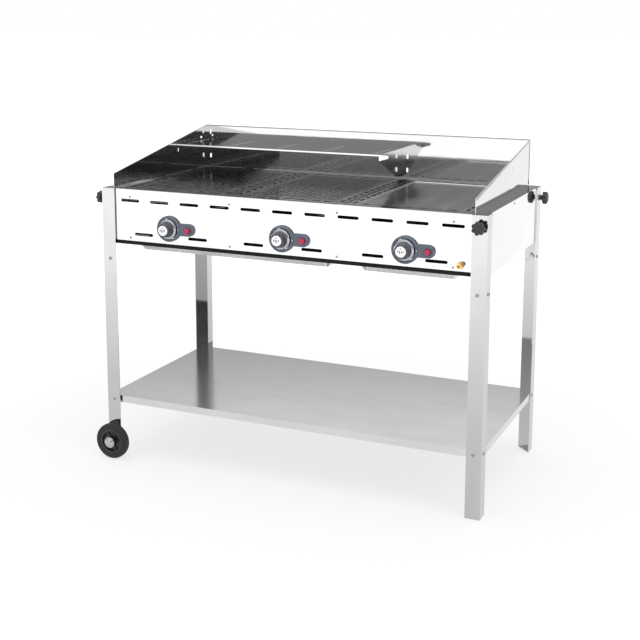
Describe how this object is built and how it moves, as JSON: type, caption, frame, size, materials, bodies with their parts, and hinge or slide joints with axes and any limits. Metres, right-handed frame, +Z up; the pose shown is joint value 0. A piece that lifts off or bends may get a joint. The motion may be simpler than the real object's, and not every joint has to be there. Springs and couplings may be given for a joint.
{
  "type": "charbroiler grill",
  "caption": "Gas charbroiler on a wheeled stand with slotted cooking plates, a griddle, a windshield, a warming shelf and slide-out drip trays.",
  "frame": {"origin": "on the floor, centred between the four legs", "axes": "+X to the right along the front, +Y from the control side to the rear, +Z up"},
  "size_m": [1.245, 0.68, 0.981],
  "materials": {
    "polished_steel": "polished sheet",
    "brushed_sheet": "brushed sheet",
    "dark_rail": "satin black",
    "plate_steel": "matt plate",
    "burner_steel": "heat-tinted tube",
    "brass": "turned brass",
    "fastener": "bright zinc",
    "black_plastic": "moulded, matt",
    "bezel_grey": "slate grey, satin",
    "knob_grey": "metallic grey with a bright face",
    "button_red": "glossy red",
    "ceramic": "white ceramic",
    "tyre_rubber": "matt rubber"
  },
  "bodies": {
    "frame": {"top_frame": "polished_steel", "front_cover": "polished_steel", "front_rail": "dark_rail", "side_panel_left": "polished_steel", "side_panel_right": "polished_steel", "rear_panel": "brushed_sheet", "heat_shield": "brushed_sheet", "corner_posts": "brushed_sheet", "leg_front_left": "polished_steel", "leg_front_right": "polished_steel", "leg_rear_left": "polished_steel", "leg_rear_right": "polished_steel", "post_bolts": "fastener", "shelf_bolts": "fastener", "lower_shelf": "polished_steel", "burner_left": "burner_steel", "burner_middle": "burner_steel", "burner_right": "burner_steel", "burner_support": "brushed_sheet", "gas_manifold": "brass", "gas_valves": "brass", "gas_inlet": "brass", "bezel_left": "bezel_grey", "bezel_middle": "bezel_grey", "bezel_right": "bezel_grey", "igniters": "ceramic", "tray_rails": "brushed_sheet", "tray_crossbars": "brushed_sheet", "axle_front": "fastener", "axle_rear": "fastener", "wheel_mounts": "black_plastic", "cover_screws": "fastener", "side_screws": "fastener"},
    "windshield": {"screen_rear": "polished_steel", "screen_left": "polished_steel", "screen_right": "polished_steel"},
    "warming_shelf": {"warming_shelf": "polished_steel", "warming_bracket": "polished_steel"},
    "grill_plate_left": {"grill_plate_left": "plate_steel"},
    "grill_plate_middle": {"grill_plate_middle": "plate_steel"},
    "griddle_plate": {"griddle_plate": "plate_steel"},
    "tray_left": {"tray_left": "brushed_sheet"},
    "tray_right": {"tray_right": "brushed_sheet"},
    "wheel_front": {"tyre_front": "tyre_rubber", "hub_front": "black_plastic"},
    "wheel_rear": {"tyre_rear": "tyre_rubber", "hub_rear": "black_plastic"},
    "stem_left": {"stem_left": "fastener"},
    "knob_left": {"knob_left": "knob_grey"},
    "button_left": {"button_left": "button_red"},
    "stem_middle": {"stem_middle": "fastener"},
    "knob_middle": {"knob_middle": "knob_grey"},
    "button_middle": {"button_middle": "button_red"},
    "stem_right": {"stem_right": "fastener"},
    "knob_right": {"knob_right": "knob_grey"},
    "button_right": {"button_right": "button_red"},
    "clamp_front_left": {"star_knob_front_left": "black_plastic"},
    "clamp_front_right": {"star_knob_front_right": "black_plastic"},
    "clamp_rear_left": {"star_knob_rear_left": "black_plastic"},
    "clamp_rear_right": {"star_knob_rear_right": "black_plastic"}
  },
  "joints": [
    {"name": "push_left", "type": "slide", "parent": "frame", "child": "stem_left", "axis": [0, 1, 0], "range_m": [0, 0.0024], "stiffness_N_per_m": 800, "springref_m": -0.006},
    {"name": "turn_left", "type": "hinge", "parent": "stem_left", "child": "knob_left", "pos_m": [-0.367, -0.288, 0.731], "axis": [0, -1, 0], "range_deg": [0, 210]},
    {"name": "ignite_left", "type": "slide", "parent": "frame", "child": "button_left", "axis": [0, 1, 0], "range_m": [0, 0.004], "stiffness_N_per_m": 600, "springref_m": -0.005},
    {"name": "push_middle", "type": "slide", "parent": "frame", "child": "stem_middle", "axis": [0, 1, 0], "range_m": [0, 0.0024], "stiffness_N_per_m": 800, "springref_m": -0.006},
    {"name": "turn_middle", "type": "hinge", "parent": "stem_middle", "child": "knob_middle", "pos_m": [0, -0.288, 0.731], "axis": [0, -1, 0], "range_deg": [0, 210]},
    {"name": "ignite_middle", "type": "slide", "parent": "frame", "child": "button_middle", "axis": [0, 1, 0], "range_m": [0, 0.004], "stiffness_N_per_m": 600, "springref_m": -0.005},
    {"name": "push_right", "type": "slide", "parent": "frame", "child": "stem_right", "axis": [0, 1, 0], "range_m": [0, 0.0024], "stiffness_N_per_m": 800, "springref_m": -0.006},
    {"name": "turn_right", "type": "hinge", "parent": "stem_right", "child": "knob_right", "pos_m": [0.367, -0.288, 0.731], "axis": [0, -1, 0], "range_deg": [0, 210]},
    {"name": "ignite_right", "type": "slide", "parent": "frame", "child": "button_right", "axis": [0, 1, 0], "range_m": [0, 0.004], "stiffness_N_per_m": 600, "springref_m": -0.005},
    {"name": "windshield_lift", "type": "slide", "parent": "frame", "child": "windshield", "axis": [0, 0, 1], "range_m": [0, 0.16]},
    {"name": "warming_shelf_lift", "type": "slide", "parent": "windshield", "child": "warming_shelf", "axis": [0, 0, 1], "range_m": [0, 0.12]},
    {"name": "left_plate_lift", "type": "slide", "parent": "frame", "child": "grill_plate_left", "axis": [0, 0, 1], "range_m": [0, 0.07]},
    {"name": "middle_plate_lift", "type": "slide", "parent": "frame", "child": "grill_plate_middle", "axis": [0, 0, 1], "range_m": [0, 0.006]},
    {"name": "griddle_lift", "type": "slide", "parent": "frame", "child": "griddle_plate", "axis": [0, 0, 1], "range_m": [0, 0.12]},
    {"name": "left_tray_slide", "type": "slide", "parent": "frame", "child": "tray_left", "axis": [0, -1, 0], "range_m": [0, 0.42]},
    {"name": "right_tray_slide", "type": "slide", "parent": "frame", "child": "tray_right", "axis": [0, -1, 0], "range_m": [0, 0.42]},
    {"name": "front_wheel_spin", "type": "hinge", "parent": "frame", "child": "wheel_front", "pos_m": [-0.569, -0.314, 0.055], "axis": [0, 1, 0], "continuous": true},
    {"name": "rear_wheel_spin", "type": "hinge", "parent": "frame", "child": "wheel_rear", "pos_m": [-0.569, 0.314, 0.055], "axis": [0, 1, 0], "continuous": true},
    {"name": "clamp_turn_front_left", "type": "hinge", "parent": "frame", "child": "clamp_front_left", "pos_m": [-0.595, -0.2725, 0.808], "axis": [-1, 0, 0], "range_deg": [0, 720]},
    {"name": "clamp_turn_front_right", "type": "hinge", "parent": "frame", "child": "clamp_front_right", "pos_m": [0.5735, -0.294, 0.808], "axis": [0, -1, 0], "range_deg": [0, 720]},
    {"name": "clamp_turn_rear_left", "type": "hinge", "parent": "frame", "child": "clamp_rear_left", "pos_m": [-0.5735, 0.294, 0.808], "axis": [0, 1, 0], "range_deg": [0, 720]},
    {"name": "clamp_turn_rear_right", "type": "hinge", "parent": "frame", "child": "clamp_rear_right", "pos_m": [0.595, 0.2725, 0.808], "axis": [1, 0, 0], "range_deg": [0, 720]}
  ]
}
